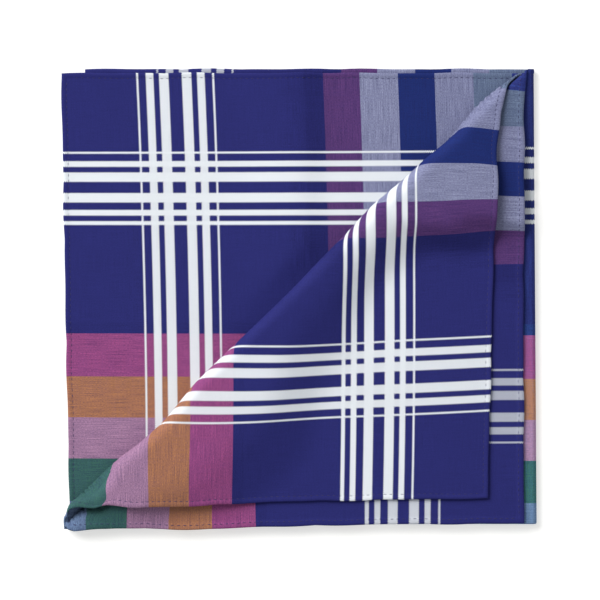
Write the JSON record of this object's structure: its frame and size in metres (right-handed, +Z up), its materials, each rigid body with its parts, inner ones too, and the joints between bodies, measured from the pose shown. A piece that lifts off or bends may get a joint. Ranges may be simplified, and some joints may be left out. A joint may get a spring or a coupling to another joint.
{
  "type": "folded handkerchief",
  "caption": "Square cotton handkerchief folded in four, its upper layers rolled back over the diagonal, to lie flat on a table, tray or shelf.",
  "frame": {"origin": "middle of the bounding box in plan, on the surface that the packet lies on", "axes": "+Z up from the surface, +X to the fold that closes the packet's right side, +Y away from its bottom fold"},
  "size_m": [0.2268, 0.2208, 0.0154],
  "materials": {
    "navy_cotton": "matt woven cotton"
  },
  "bodies": {
    "root": {"handkerchief": "navy_cotton"}
  },
  "joints": []
}
